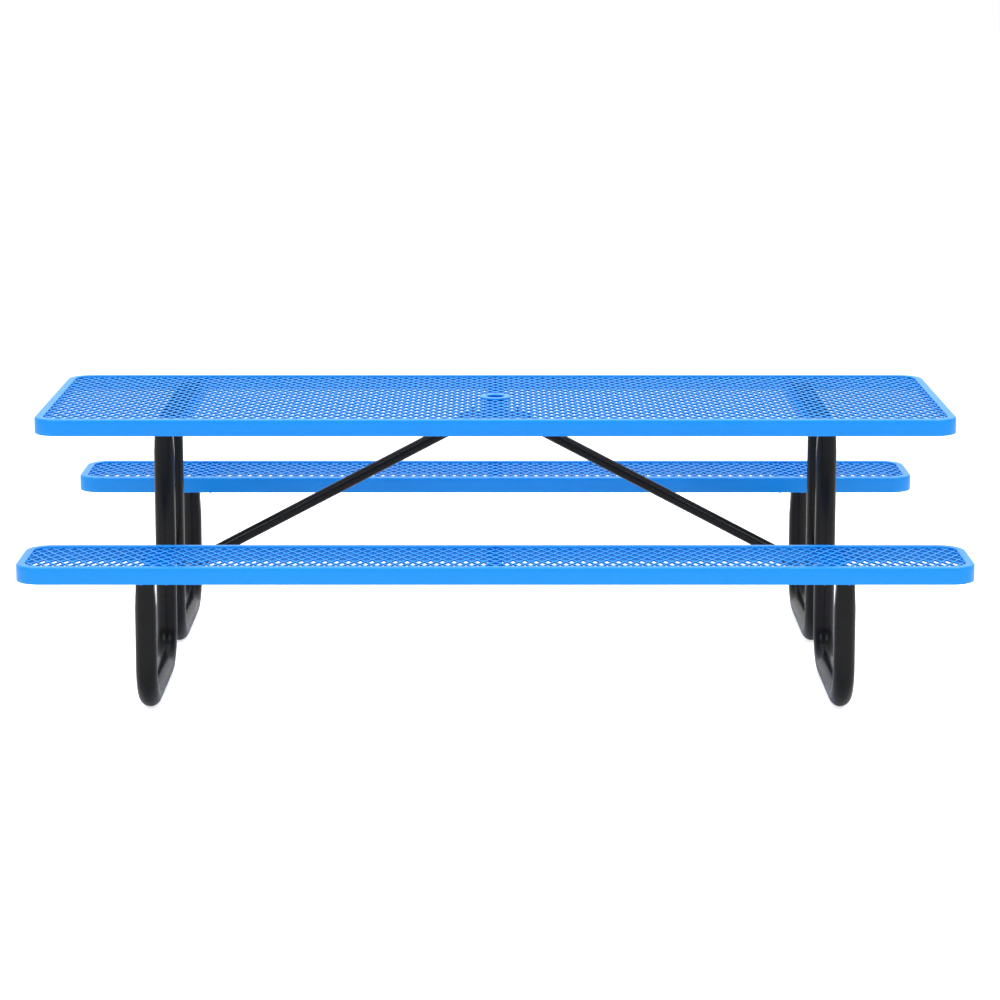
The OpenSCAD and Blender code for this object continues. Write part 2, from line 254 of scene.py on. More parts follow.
def is_level(edge, height):
    """Whether both ends of an edge lie at a height."""
    return all(abs(vertex.co.z - height) < TOUCHING for vertex in edge.verts)


def in_quarter(sides, x, y):
    """A place in one quarter, from its distances along X and Y."""
    return Vector((sides[0] * x, sides[1] * y, 0))


def extrude(offset):
    bpy.ops.mesh.extrude_region_move(TRANSFORM_OT_translate={"value": offset})


def apply_modifiers(piece):
    pick(piece)
    for modifier in list(piece.modifiers):
        bpy.ops.object.modifier_apply(modifier=modifier.name)


def apply_place(piece):
    """Puts the piece's place, turn and size into its mesh."""
    pick(piece)
    bpy.ops.object.transform_apply(location=True, rotation=True, scale=True)


def soften(piece, angle=35):
    pick(piece)
    bpy.ops.object.shade_smooth_by_angle(angle=math.radians(angle))


def take_new(name, scale=(1, 1, 1)):
    """The shape that was just added, named and brought to size."""
    piece = bpy.context.active_object
    piece.name = name
    piece.scale = scale
    apply_place(piece)
    return piece


def add_block(name, low, high):
    """A plain block from corner to corner."""
    deselect_all()
    bpy.ops.mesh.primitive_cube_add(size=1, location=(low + high) / 2)
    return take_new(name, high - low)


def add_gauge(piece, thickness, even=True):
    """Thickens a sheet to the inside of its faces."""
    gauge = piece.modifiers.new("gauge", "SOLIDIFY")
    gauge.thickness = thickness
    gauge.offset = -1
    gauge.use_even_offset = even


def add_bevel(piece, width, segments=2, angle=40):
    bevel = piece.modifiers.new("rounded edges", "BEVEL")
    bevel.width = width
    bevel.segments = segments
    bevel.limit_method = "ANGLE"
    bevel.angle_limit = math.radians(angle)
    bevel.use_clamp_overlap = True


def combine(piece, operation, tool):
    """Cuts the piece with a tool or keeps what they share, and deletes the tool."""
    cut = piece.modifiers.new("cut", "BOOLEAN")
    cut.operation = operation
    cut.solver = "EXACT"
    cut.object = tool
    apply_modifiers(piece)
    bpy.data.objects.remove(tool)


def join(pieces, name):
    """Joins the pieces into the first one."""
    pick(*pieces)
    bpy.ops.object.join()
    pieces[0].name = name
    return pieces[0]


def copy_piece(piece, name):
    twin = piece.copy()
    twin.data = piece.data.copy()
    twin.name = name
    bpy.context.scene.collection.objects.link(twin)
    return twin


def mirror_copy(piece, name, sides):
    """A copy of the piece in another quarter of the table, with its faces turned right."""
    twin = copy_piece(piece, name)
    twin.scale = (*sides, 1)
    apply_place(twin)
    edit(twin)
    face_outward()
    close()
    return twin


def finish_piece(piece, material, slot, *replaced):
    piece.data.materials.clear()
    piece.data.materials.append(material)
    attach(piece, "root")
    if replaced:
        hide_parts(*replaced)


# ---- trays ---------------------------------------------------------------------------


def make_rim(name, node):
    """A flange and a skirt in one bent sheet, round the tray."""
    low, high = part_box(node)
    centre = (low + high) / 2
    size = high - low
    deselect_all()
    bpy.ops.mesh.primitive_plane_add(size=1, location=(centre.x, centre.y, high.z))
    piece = take_new(name, (size.x, size.y, 1))
    edit(piece)
    select_everything()
    bpy.ops.mesh.bevel(
        offset=RIM_CORNER, segments=CORNER_STEPS, profile=0.5, affect="VERTICES")
    select("faces", lambda face: True)
    bpy.ops.mesh.inset(thickness=RIM_FLANGE, depth=0)
    bpy.ops.mesh.delete(type="FACE")
    select("edges", lambda edge: len(edge.link_faces) == 1
        and is_on_outline(middle_of(edge) - centre, size))
    extrude((0, 0, -size.z))
    select("edges", lambda edge: is_top_corner(edge, high.z))
    bpy.ops.mesh.bevel(offset=RIM_ROLL, segments=4, profile=0.5, affect="EDGES")
    face_outward()
    close()
    add_gauge(piece, RIM_GAUGE)
    add_bevel(piece, COATED_EDGE, segments=3, angle=60)
    apply_modifiers(piece)
    soften(piece)
    return piece


def is_on_outline(place, size):
    """Whether a place is nearer the tray's outline than the flange's inner edge."""
    reach = Vector((size.x / 2 - RIM_CORNER, size.y / 2 - RIM_CORNER))
    over = Vector((max(abs(place.x) - reach.x, 0), max(abs(place.y) - reach.y, 0)))
    return over.length > RIM_CORNER - RIM_FLANGE / 2


def is_top_corner(edge, top):
    """Whether an edge is the bend between the flange and the skirt."""
    if len(edge.link_faces) != 2 or abs(middle_of(edge).z - top) > NEAR:
        return False
    return edge.calc_face_angle(0) > math.radians(45)


# ---- expanded metal ------------------------------------------------------------------


def make_bond(thickness):
    """One bond of the expanded metal with its four half strands, round the origin."""
    half_strand = Vector((DIAMOND_LENGTH / 4, DIAMOND_DEPTH / 4, 0))
    rise = Vector((
        half_strand.x - STRAND_WIDTH / 2,
        half_strand.y - BOND_LENGTH / 2,
        0,
    )).normalized()
    slope = rise.y / rise.x
    across = Vector((rise.y, -rise.x, 0)) * STRAND_WIDTH / 2
    inner_end = half_strand - across
    outer_end = half_strand + across
    crotch = inner_end.y - slope * inner_end.x
    shoulder = outer_end.y - slope * (outer_end.x - BOND_HALF_WIDTH)
    deselect_all()
    bpy.ops.mesh.primitive_plane_add(size=1, location=(0, 0, 0))
    piece = take_new("bond", (2 * BOND_HALF_WIDTH, 2 * shoulder, 1))
    edit(piece)
    select("edges", lambda e: abs(middle_of(e).x) < TOUCHING)
    bpy.ops.mesh.subdivide(number_cuts=1)
    for side in (-1, 1):
        select("verts", lambda v: abs(v.co.x) < TOUCHING and v.co.y * side > 0)
        bpy.ops.transform.translate(value=(0, side * (crotch - shoulder), 0))
    for sides in QUARTERS:
        select("edges", lambda e: middle_of(e).x * sides[0] > TOUCHING
            and middle_of(e).y * sides[1] > TOUCHING)
        extrude(in_quarter(sides, half_strand.x, half_strand.y))
        for end, start_x, start_y in (
            (inner_end, 0, crotch),
            (outer_end, BOND_HALF_WIDTH, shoulder),
        ):
            moved = in_quarter(sides, start_x + half_strand.x, start_y + half_strand.y)
            select("verts", lambda v: (v.co - moved).length < NEAR)
            target = in_quarter(sides, end.x, end.y)
            bpy.ops.transform.translate(value=target - moved)
    face_outward()
    close()
    if piece.data.polygons[0].normal.z < 0:
        edit(piece)
        select_everything()
        bpy.ops.mesh.flip_normals()
        close()
    add_gauge(piece, thickness, even=False)
    apply_modifiers(piece)
    edit(piece)

    def is_cut(face):
        centre = face.calc_center_median()
        flat = Vector((abs(centre.x), abs(centre.y), 0))
        return is_upright(face) and (flat - half_strand).length < NEAR

    select("faces", is_cut)
    bpy.ops.mesh.delete(type="FACE")
    select("edges", lambda e: len(e.link_faces) == 2 and is_rim_edge(e))
    bpy.ops.mesh.bevel(offset=STRAND_EDGE, segments=1, affect="EDGES", clamp_overlap=True)
    close()
    return piece


def is_rim_edge(edge):
    """Whether an edge runs between a flat face and a side wall."""
    first, second = edge.link_faces
    return is_upright(first) != is_upright(second)


def trim(place, outward):
    """Cuts away what lies beyond a plane, on the piece being edited."""
    select_everything()
    bpy.ops.mesh.bisect(plane_co=place, plane_no=outward, use_fill=True, clear_outer=True)


def make_expanded_metal(name, node, bond):
    """A sheet of joined bonds, trimmed to the tray's inside."""
    low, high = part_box(node)
    size = high - low
    centre = (low + high) / 2
    piece = copy_piece(bond, name)
    twin = copy_piece(bond, name + "_twin")
    twin.location = (DIAMOND_LENGTH / 2, DIAMOND_DEPTH / 2, 0)
    apply_place(twin)
    join([piece, twin], name)
    columns = math.ceil(size.x / DIAMOND_LENGTH) + 2
    rows = math.ceil(size.y / DIAMOND_DEPTH) + 2
    columns += columns % 2
    rows += rows % 2
    for label, count, offset in (
        ("columns", columns, (DIAMOND_LENGTH, 0, 0)),
        ("rows", rows, (0, DIAMOND_DEPTH, 0)),
    ):
        array = piece.modifiers.new(label, "ARRAY")
        array.count = count
        array.use_relative_offset = False
        array.use_constant_offset = True
        array.constant_offset_displace = offset
    apply_modifiers(piece)
    piece.location = (
        centre.x - columns / 2 * DIAMOND_LENGTH,
        centre.y - rows / 2 * DIAMOND_DEPTH,
        high.z + STRAND_COAT,
    )
    apply_place(piece)
    edit(piece)
    select_everything()
    bpy.ops.mesh.remove_doubles(threshold=BOND_WELD)
    for turn in range(4):
        outward = Vector((math.cos(turn * math.pi / 2), math.sin(turn * math.pi / 2), 0))
        reach = Vector((outward.x * size.x, outward.y * size.y, 0)) / 2
        trim(centre + reach, outward)
    radius = RIM_CORNER - RIM_GAUGE
    for sides in QUARTERS:
        hub = centre + in_quarter(sides, size.x / 2 - radius, size.y / 2 - radius)
        for angle in CORNER_CUTS:
            outward = in_quarter(sides, math.cos(angle), math.sin(angle))
            trim(hub + outward * radius, outward)
    close()
    return piece


def cut_sleeve_hole(piece, hub, radius):
    """Clears the strands inside the collar's sleeve."""
    reach = radius + DIAMOND_DEPTH
    edit(piece)
    select("faces", lambda f: (f.calc_center_median().xy - hub.xy).length < reach)
    bpy.ops.mesh.separate(type="SELECTED")
    close()
    patch = next(other for other in bpy.context.selected_objects if other is not piece)
    deselect_all()
    bpy.ops.mesh.primitive_cylinder_add(
        vertices=SLEEVE_CUTTER_SIDES, radius=radius, depth=SLEEVE_CUTTER_DEPTH, location=hub)
    combine(patch, "DIFFERENCE", bpy.context.active_object)
    join([piece, patch], piece.name)
    edit(piece)
    select_everything()
    bpy.ops.mesh.remove_doubles(threshold=PATCH_WELD)
    close()


def split_in_halves(piece, left_name, right_name):
    """Two pieces from one, parted at the table's middle."""
    halves = []
    for name, side in ((left_name, 1), (right_name, -1)):
        half = copy_piece(piece, name)
        edit(half)
        trim(Vector((0, 0, 0)), Vector((side, 0, 0)))
        close()
        halves.append(half)
    bpy.data.objects.remove(piece)
    return halves


# ---- tubes ---------------------------------------------------------------------------


def start_tube(name, sides, radius, place, rotation=(0, 0, 0), fill="NOTHING"):
    """A new ring, opened for editing and selected."""
    deselect_all()
    bpy.ops.mesh.primitive_circle_add(
        vertices=sides, radius=radius, location=place, rotation=rotation, fill_type=fill)
    piece = take_new(name)
    edit(piece)
    select_everything()
    return piece


def extrude_straight(offset):
    """A straight run with a short span at both ends, which keeps its shading even."""
    span = offset.normalized() * SUPPORT_SPAN
    for step in (span, offset - 2 * span, span):
        extrude(step)


def pressed_width(radius, half_thickness):
    """Half width of a tube pressed to a half thickness, with its girth kept."""
    return math.pi * (radius - half_thickness) / 2 + half_thickness


def press_ring(centre, axis, spread_axis, half_thickness, widen):
    """Presses the selected ring between two plates and lets it spread sideways."""
    mesh = bmesh.from_edit_mesh(bpy.context.edit_object.data)
    mesh.verts.index_update()
    ring = {v.index for v in mesh.verts if v.select}
    spread = [1, 1, 1]
    spread[spread_axis] = widen
    bpy.ops.transform.resize(value=spread, center_override=centre)
    flat = [1, 1, 1]
    flat[axis] = 0
    for side in (-1, 1):
        plate = Vector(centre)
        plate[axis] += side * half_thickness
        select("verts", lambda v: v.index in ring and side * (v.co[axis] - plate[axis]) > 0)
        bpy.ops.transform.resize(value=flat, center_override=plate)
    select("verts", lambda v: v.index in ring)


def smooth_step(t):
    return t * t * (3 - 2 * t)


def slow_start(t):
    return t ** PINCH_POWER


def draw_pinched_end(start, forward, radius, axis, spread_axis, stages, flat_length):
    """Draws the selected ring forward while it is pressed flat, and closes it. A stage is
    a length, its steps, the half thickness at its start and end, and the curve between."""
    place = Vector(start)
    width = radius
    for length, steps, thick_from, thick_to, shape in stages:
        for step in range(1, steps + 1):
            extrude(forward * length / steps)
            place += forward * length / steps
            half_thickness = thick_from + (thick_to - thick_from) * shape(step / steps)
            target = pressed_width(radius, half_thickness)
            press_ring(place, axis, spread_axis, half_thickness, target / width)
            width = target
    extrude(forward * flat_length)
    bpy.ops.mesh.edge_face_add()


def close_tube(piece):
    face_outward()
    close()
    add_bevel(piece, TUBE_EDGE, segments=2, angle=50)
    apply_modifiers(piece)
    soften(piece, angle=40)


def leg_places():
    """Centrelines and tops of the right rear leg: plane, tall and short uprights."""
    low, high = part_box("rear_leg_right")
    flat_reach = (math.pi * LEG_RADIUS - LEG_WALL) / 2
    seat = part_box("rear_bench_rim")[1].z
    return {
        "plane": (low.x + high.x) / 2,
        "tall": low.y + flat_reach,
        "short": high.y - flat_reach,
        "tall_top": high.z,
        "short_top": seat - LEG_TOP_DROP,
        "run": low.z + LEG_RADIUS,
    }


def make_leg(name):
    """The right rear leg: a run along the ground, two bends and two pinched uprights."""
    at = leg_places()
    run_start = at["tall"] + BEND_RADIUS
    run_end = at["short"] - BEND_RADIUS
    bend_level = at["run"] + BEND_RADIUS
    oval = LEG_OVAL / 2
    stages = (
        (TAPER_HEIGHT, TAPER_STEPS, LEG_RADIUS, oval, smooth_step),
        (PINCH_HEIGHT, PINCH_STEPS, oval, LEG_WALL, slow_start),
    )
    ends_height = TAPER_HEIGHT + PINCH_HEIGHT + FLAT_HEIGHT
    piece = start_tube(
        name, LEG_SIDES, LEG_RADIUS, (at["plane"], run_start, at["run"]),
        (math.pi / 2, 0, 0))
    extrude_straight(Vector((0, run_end - run_start, 0)))
    for y_bend, y_upright, turn, top in (
        (run_end, at["short"], -1, at["short_top"]),
        (run_start, at["tall"], 1, at["tall_top"]),
    ):
        select("verts", lambda v: abs(v.co.y - y_bend) < NEAR)
        bpy.ops.mesh.spin(
            steps=BEND_STEPS,
            angle=turn * math.pi / 2,
            center=(at["plane"], y_bend, bend_level),
            axis=(1, 0, 0),
        )
        extrude_straight(Vector((0, 0, top - ends_height - bend_level)))
        start = Vector((at["plane"], y_upright, top - ends_height))
        draw_pinched_end(start, Vector((0, 0, 1)), LEG_RADIUS, X, Y, stages, FLAT_HEIGHT)
    close_tube(piece)
    return piece


def brace_bolts_at():
    """Places of the right brace's upper and lower bolts, in its own upright plane."""
    low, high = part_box("brace_bolts")
    lower = Vector((high.x - HEAD_CORNERS / 2, 0, low.z + HEAD_FLATS / 2))
    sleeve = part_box("umbrella_collar")[1].x - COLLAR_RADIUS + SLEEVE_RADIUS
    upper = Vector((sleeve + UPPER_BOLT_REACH, 0, high.z - HEAD_FLATS / 2))
    return upper, lower


def make_brace(name):
    """The right brace, drawn along X from its upper bolt and then turned into place."""
    upper, lower = brace_bolts_at()
    span = (lower - upper).length
    tube_start = BRACE_PLATE + BRACE_TAPER
    stages = ((BRACE_TAPER, BRACE_TAPER_STEPS, BRACE_RADIUS, BRACE_WALL, smooth_step),)
    piece = start_tube(
        name, BRACE_SIDES, BRACE_RADIUS, (tube_start, 0, 0), (0, math.pi / 2, 0))
    extrude_straight(Vector((span - 2 * tube_start, 0, 0)))
    for place, way in ((span - tube_start, 1), (tube_start, -1)):
        select("verts", lambda v: abs(v.co.x - place) < NEAR)
        draw_pinched_end(
            Vector((place, 0, 0)), Vector((way, 0, 0)), BRACE_RADIUS, Y, Z, stages,
            BRACE_PLATE + BRACE_TIP)
    close_tube(piece)
    piece.rotation_euler = (0, math.atan2(upper.z - lower.z, lower.x - upper.x), 0)
    piece.location = upper
    apply_place(piece)
    return piece


def make_tie(name):
    """The right cross-tie, a plain tube that runs into both tall uprights."""
    low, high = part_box("tie_right")
    deselect_all()
    bpy.ops.mesh.primitive_cylinder_add(
        vertices=BRACE_SIDES,
        radius=(high.x - low.x) / 2,
        depth=high.y - low.y,
        location=(low + high) / 2,
        rotation=(math.pi / 2, 0, 0),
    )
    piece = take_new(name)
    soften(piece, angle=40)
    return piece


def make_bead(name, place, radius, pipe_radius):
    """A weld bead round the cross-tie, laid on the upright's round wall."""
    deselect_all()
    bpy.ops.mesh.primitive_torus_add(
        major_segments=BEAD_STEPS[0],
        minor_segments=BEAD_STEPS[1],
        major_radius=radius,
        minor_radius=BEAD_RADIUS,
        location=place,
        rotation=(math.pi / 2, 0, 0),
    )
    piece = take_new(name)
    edit(piece)
    mesh = bmesh.from_edit_mesh(piece.data)
    for vertex in mesh.verts:
        beside = min(abs(vertex.co.x - place[0]), pipe_radius)
        vertex.co.y += pipe_radius - math.sqrt(pipe_radius ** 2 - beside ** 2)
        around = math.atan2(vertex.co.z - place[2], vertex.co.x - place[0])
        ripple = math.sin(BEAD_RIPPLES * around)
        vertex.co += vertex.normal * ripple * BEAD_RIPPLE * BEAD_RADIUS
    bmesh.update_edit_mesh(piece.data)
    close()
    soften(piece, angle=80)
    return piece


# ---- flat stock ----------------------------------------------------------------------


def make_block(name, low, high):
    """Flat bar from corner to corner, with coated edges."""
    piece = add_block(name, low, high)
    add_bevel(piece, STOCK_EDGE, segments=3)
    apply_modifiers(piece)
    soften(piece)
    return piece


def make_channel(name, node):
    """Formed channel that opens downwards."""
    piece = add_block(name, *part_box(node))
    edit(piece)
    select("faces", lambda f: f.normal.z < -FACING or abs(f.normal.y) > FACING)
    bpy.ops.mesh.delete(type="FACE")
    select("edges", lambda e: len(e.link_faces) == 2)
    bpy.ops.mesh.bevel(offset=STOCK_BEND, segments=4, affect="EDGES")
    close()
    add_gauge(piece, STOCK_GAUGE)
    add_bevel(piece, CHANNEL_EDGE, segments=2, angle=60)
    apply_modifiers(piece)
    soften(piece)
    return piece


def make_lug(name, low, high, free_side):
    """Plate with two round corners on its free side."""
    piece = add_block(name, low, high)
    edit(piece)
    select("edges", lambda e: abs(middle_of(e).x - free_side) < NEAR
        and abs(e.verts[0].co.y - e.verts[1].co.y) > NEAR)
    bpy.ops.mesh.bevel(offset=LUG_CORNER, segments=6, affect="EDGES")
    close()
    add_bevel(piece, LUG_EDGE, segments=2)
    apply_modifiers(piece)
    soften(piece)
    return piece


def make_turned_ring(name, inner, outer, bottom, top, edge, sides):
    """A ring turned round the Z axis, with rounded edges."""
    deselect_all()
    bpy.ops.mesh.primitive_plane_add(
        size=1,
        location=((inner + outer) / 2, 0, (bottom + top) / 2),
        rotation=(math.pi / 2, 0, 0),
    )
    piece = take_new(name, (outer - inner, top - bottom, 1))
    edit(piece)
    select_everything()
    bpy.ops.mesh.delete(type="ONLY_FACE")
    select_everything()
    bpy.ops.mesh.spin(steps=sides, angle=2 * math.pi, center=(0, 0, 0), axis=(0, 0, 1))
    select_everything()
    bpy.ops.mesh.remove_doubles(threshold=NEAR)
    face_outward()
    close()
    add_bevel(piece, edge, segments=3, angle=50)
    apply_modifiers(piece)
    soften(piece)
    return piece


def make_collar(name):
    """Flange on the mesh and sleeve under it."""
    low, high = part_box("umbrella_collar")
    flange = make_turned_ring(
        name, BORE_RADIUS, COLLAR_RADIUS, high.z - COLLAR_THICKNESS, high.z,
        COLLAR_EDGE, COLLAR_SIDES)
    sleeve = make_turned_ring(
        name + "_sleeve", SLEEVE_RADIUS - SLEEVE_WALL, SLEEVE_RADIUS, low.z,
        high.z - COLLAR_THICKNESS / 2, SLEEVE_EDGE, COLLAR_SIDES)
    return join([flange, sleeve], name)


# ---- fasteners -----------------------------------------------------------------------


def make_hex(name, height, bottom, turned_levels):
    """Hexagonal prism upwards from a level, with turned chamfers at the stated levels."""
    place = (0, 0, bottom + height / 2)
    deselect_all()
    bpy.ops.mesh.primitive_cylinder_add(
        vertices=6, radius=HEAD_CORNERS / 2, depth=height, location=place)
    piece = take_new(name)
    bpy.ops.mesh.primitive_cylinder_add(
        vertices=TURNING_SIDES, radius=HEAD_CORNERS / 2 + TURNING_MARGIN, depth=height,
        location=place)
    turning = take_new(name + "_turning")
    edit(turning)
    select("edges", lambda e: any(is_level(e, level) for level in turned_levels))
    bpy.ops.mesh.bevel(offset=HEAD_CHAMFER, segments=1, affect="EDGES")
    close()
    combine(piece, "INTERSECT", turning)
    soften(piece, angle=20)
    return piece


def make_threaded_rod(name, bottom, top, thread_from):
    """Round rod along Z whose upper part has thread grooves."""
    piece = start_tube(name, BOLT_SIDES, BOLT_RADIUS, (0, 0, bottom), fill="NGON")
    extrude((0, 0, thread_from - bottom))
    turns = max(2, round((top - thread_from) / THREAD_PITCH))
    pitch = (top - thread_from) / turns
    for _ in range(turns):
        for ratio in (THREAD_ROOT, 1 / THREAD_ROOT):
            extrude((0, 0, pitch / 2))
            bpy.ops.transform.resize(value=(ratio, ratio, 1), center_override=(0, 0, 0))
    face_outward()
    close()
    soften(piece, angle=30)
    return piece


def make_bolt(name, grip):
    """Hexagonal bolt along +Z with its seat at the origin."""
    head = make_hex(name, HEAD_HEIGHT, -HEAD_HEIGHT, [-HEAD_HEIGHT])
    rod = make_threaded_rod(
        name + "_rod", -ROD_OVERLAP, grip + NUT_HEIGHT + THREAD_STUB,
        grip + NUT_HEIGHT - ROD_OVERLAP)
    return join([head, rod], name)


def make_nut(name):
    """Hexagonal nut along +Z with its seat at the origin."""
    return make_hex(name, NUT_HEIGHT, 0, [0, NUT_HEIGHT])


def make_washer(name):
    return make_turned_ring(
        name, BOLT_RADIUS + WASHER_PLAY, WASHER_RADIUS, 0, WASHER_GAUGE, WASHER_EDGE,
        WASHER_SIDES)


def place_all(model, name, places):
    """Copies of one fastener at each place, joined into one piece. A place is a point and
    the direction that the fastener's +Z takes."""
    copies = []
    for index, (point, direction) in enumerate(places):
        twin = copy_piece(model, f"{name}_{index}")
        twin.rotation_mode = "QUATERNION"
        twin.rotation_quaternion = direction.to_track_quat("Z", "Y")
        twin.location = point
        apply_place(twin)
        copies.append(twin)
    bpy.data.objects.remove(model)
    return join(copies, name)


def leg_bolt_places(inward):
    """Seats of the leg bolts, a distance inwards from the leg ends' outer faces."""
    at = leg_places()
    x = at["plane"] + LEG_WALL - inward
    places = []
    for side, half in QUARTERS:
        for y, top in ((at["tall"], at["tall_top"]), (at["short"], at["short_top"])):
            point = Vector((side * x, half * y, top - FLAT_HEIGHT / 2))
            places.append((point, Vector((-side, 0, 0))))
    return places


def rail_bolt_places(inward):
    """Seats of the rail bolts, a distance inwards from the flange of each rail."""
    low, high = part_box("rail_bolts")
    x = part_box("rail_right")[0].x + STOCK_GAUGE - inward
    y = high.y - HEAD_FLATS / 2
    z = (low.z + high.z) / 2
    return [
        (Vector((side * x, half * y, z)), Vector((-side, 0, 0)))
        for side, half in QUARTERS
    ]


def brace_bolt_places(rearward):
    """Seats of the brace bolts, a distance rearwards from the brace ends' front faces."""
    return [
        (Vector((side * bolt.x, rearward - BRACE_WALL, bolt.z)), Vector((0, 1, 0)))
        for side in (-1, 1)
        for bolt in brace_bolts_at()
    ]


# ---- shader nodes --------------------------------------------------------------------


def set_inputs(tree, node, inputs):
    """Links each input that is given a socket and sets each that is given a value."""
    for label, value in inputs.items():
        if isinstance(value, bpy.types.NodeSocket):
            tree.links.new(value, node.inputs[label])
        else:
            node.inputs[label].default_value = value


def add_node(tree, kind, inputs=None, **settings):
    node = tree.nodes.new("ShaderNode" + kind)
    for label, value in settings.items():
        setattr(node, label, value)
    set_inputs(tree, node, inputs or {})
    return node


def add_math(tree, operation, *values):
    return add_node(tree, "Math", dict(enumerate(values)), operation=operation).outputs[0]


def add_noise(tree, scale, detail):
    """Noise on Object coordinates."""
    place = add_node(tree, "TexCoord").outputs["Object"]
    inputs = {"Vector": place, "Scale": scale, "Detail": detail}
    return add_node(tree, "TexNoise", inputs).outputs["Fac"]


def add_drift(tree, scale, detail, amount, level):
    """Noise that swings about a level by an amount."""
    centred = add_math(tree, "SUBTRACT", add_noise(tree, scale, detail), 0.5)
    return add_math(tree, "MULTIPLY_ADD", centred, amount, level)


def add_range(tree, value, limits, to=(0, 1), curve="LINEAR"):
    """Maps the range between two limits to another one."""
    inputs = {
        "Value": value,
        "From Min": limits[0],
        "From Max": limits[1],
        "To Min": to[0],
        "To Max": to[1],
    }
    return add_node(tree, "MapRange", inputs, interpolation_type=curve).outputs[0]


def add_mix(tree, factor, first, second):
    """A mix of two colours, each a socket or a value."""
    inputs = {"Factor": factor, "A": first, "B": second}
    return add_node(tree, "Mix", inputs, data_type="RGBA").outputs["Result"]


def add_upward(tree, shape):
    """How far a face looks upwards."""
    return add_node(tree, "SeparateXYZ", {0: shape.outputs["Normal"]}).outputs["Z"]


# ---- materials -----------------------------------------------------------------------


# Limits between which an edge is rubbed, its patches are torn, a slope holds dust and a
# strand's wall, painted darker as shade, turns into its top.
RUBBED_EDGE = (0.53, 0.68)
TORN_PATCH = (0.48, 0.66)
DUSTY_SLOPE = (0.3, 1.0)
STRAND_SHADE_SLOPE = (0.15, 0.85)
# How much rougher the dust makes a coating.
DUST_ROUGHNESS = 0.5


def new_group(name, inputs, outputs):
    group = bpy.data.node_groups.new(name, "ShaderNodeTree")
    for label, kind, value in inputs:
        socket = group.interface.new_socket(
            name=label, in_out="INPUT", socket_type="NodeSocket" + kind)
        socket.default_value = value
    for label, kind in outputs:
        group.interface.new_socket(
            name=label, in_out="OUTPUT", socket_type="NodeSocket" + kind)
    source = group.nodes.new("NodeGroupInput")
    result = group.nodes.new("NodeGroupOutput")
    return group, source.outputs, result


def make_tone_group():
    """Slow drift in lightness and a fine mottle."""
    group, given, result = new_group(
        "coating_tone",
        [("Color", "Color", GREY), ("Drift", "Float", 0.05), ("Mottle", "Float", 0.03)],
        [("Color", "Color")],
    )
    slow = add_drift(group, scale=2.3, detail=3, amount=given["Drift"], level=1)
    value = add_drift(group, scale=160, detail=4, amount=given["Mottle"], level=slow)
    shade = add_node(group, "HueSaturation", {"Value": value, "Color": given["Color"]})
    set_inputs(group, result, {"Color": shade.outputs["Color"]})
    return group


def make_peel_group():
    """Orange peel of a thick coating: a height and a roughness with its own drift."""
    group, given, result = new_group(
        "coating_peel",
        [("Scale", "Float", 300.0), ("Roughness", "Float", 0.35), ("Spread", "Float", 0.08)],
        [("Height", "Float"), ("Roughness", "Float")],
    )
    set_inputs(group, result, {
        "Height": add_noise(group, given["Scale"], detail=2),
        "Roughness": add_drift(
            group, scale=9, detail=5, amount=given["Spread"], level=given["Roughness"]),
    })
    return group


def make_wear_group():
    """Rubbed edges and a little settled dust: a wear mask and a dust mask."""
    group, given, result = new_group(
        "wear_and_dust",
        [("Wear", "Float", 0.5), ("Dust", "Float", 0.1)],
        [("Wear", "Float"), ("Dust", "Float")],
    )
    shape = add_node(group, "NewGeometry")
    patches = add_noise(group, scale=34, detail=6)
    edge = add_range(group, shape.outputs["Pointiness"], RUBBED_EDGE)
    rubbed = add_math(group, "MULTIPLY", edge, add_range(group, patches, TORN_PATCH))
    facing = add_range(group, add_upward(group, shape), DUSTY_SLOPE)
    settled = add_math(group, "MULTIPLY", facing, patches)
    set_inputs(group, result, {
        "Wear": add_math(group, "MULTIPLY", rubbed, given["Wear"]),
        "Dust": add_math(group, "MULTIPLY", settled, given["Dust"]),
    })
    return group


def make_strand_shade_group():
    """Painted shade: a darker colour on a strand's upright walls that turns into the main
    colour on its level top.
    """
    group, given, result = new_group(
        "strand_painted_shade",
        [("Side", "Color", GREY), ("Top", "Color", GREY)],
        [("Color", "Color")],
    )
    shape = add_node(group, "NewGeometry")
    level = add_range(group, add_upward(group, shape), STRAND_SHADE_SLOPE, curve="SMOOTHSTEP")
    set_inputs(group, result, {"Color": add_mix(group, level, given["Side"], given["Top"])})
    return group


GROUPS = {
    "tone": make_tone_group(),
    "peel": make_peel_group(),
    # depth: painted shade, darker on the strands' upright walls than on their level tops
    "wear": make_wear_group(),
    "depth": make_strand_shade_group(),
}


def add_group(tree, key, inputs):
    return add_node(tree, "Group", inputs, node_tree=GROUPS[key]).outputs


def make_coating(name, color, tone, peel, relief, wear, rubbed, dust, shading, shaded_walls=None):
    """A coated metal: toned colour, orange peel, faint wear and dust. With a darker colour
    for walls as painted shade, the main one is kept for level faces."""
    material = bpy.data.materials.new(name)
    material.use_nodes = True
    tree = material.node_tree
    # The walls colour is painted shade on upright faces.
    if shaded_walls:
        color = add_group(tree, "depth", {"Side": shaded_walls, "Top": color})["Color"]
    toned = add_group(tree, "tone", {"Color": color, **tone})
    peeled = add_group(tree, "peel", peel)
    worn = add_group(tree, "wear", wear)
    bump = add_node(tree, "Bump", {"Height": peeled["Height"], **relief})
    rubbed_color = add_mix(tree, worn["Wear"], toned["Color"], rubbed)
    set_inputs(tree, tree.nodes["Principled BSDF"], {
        "Base Color": add_mix(tree, worn["Dust"], rubbed_color, dust),
        "Roughness": add_math(
            tree, "MULTIPLY_ADD", worn["Dust"], DUST_ROUGHNESS, peeled["Roughness"]),
        "Normal": bump.outputs["Normal"],
        **shading,
    })
    return material


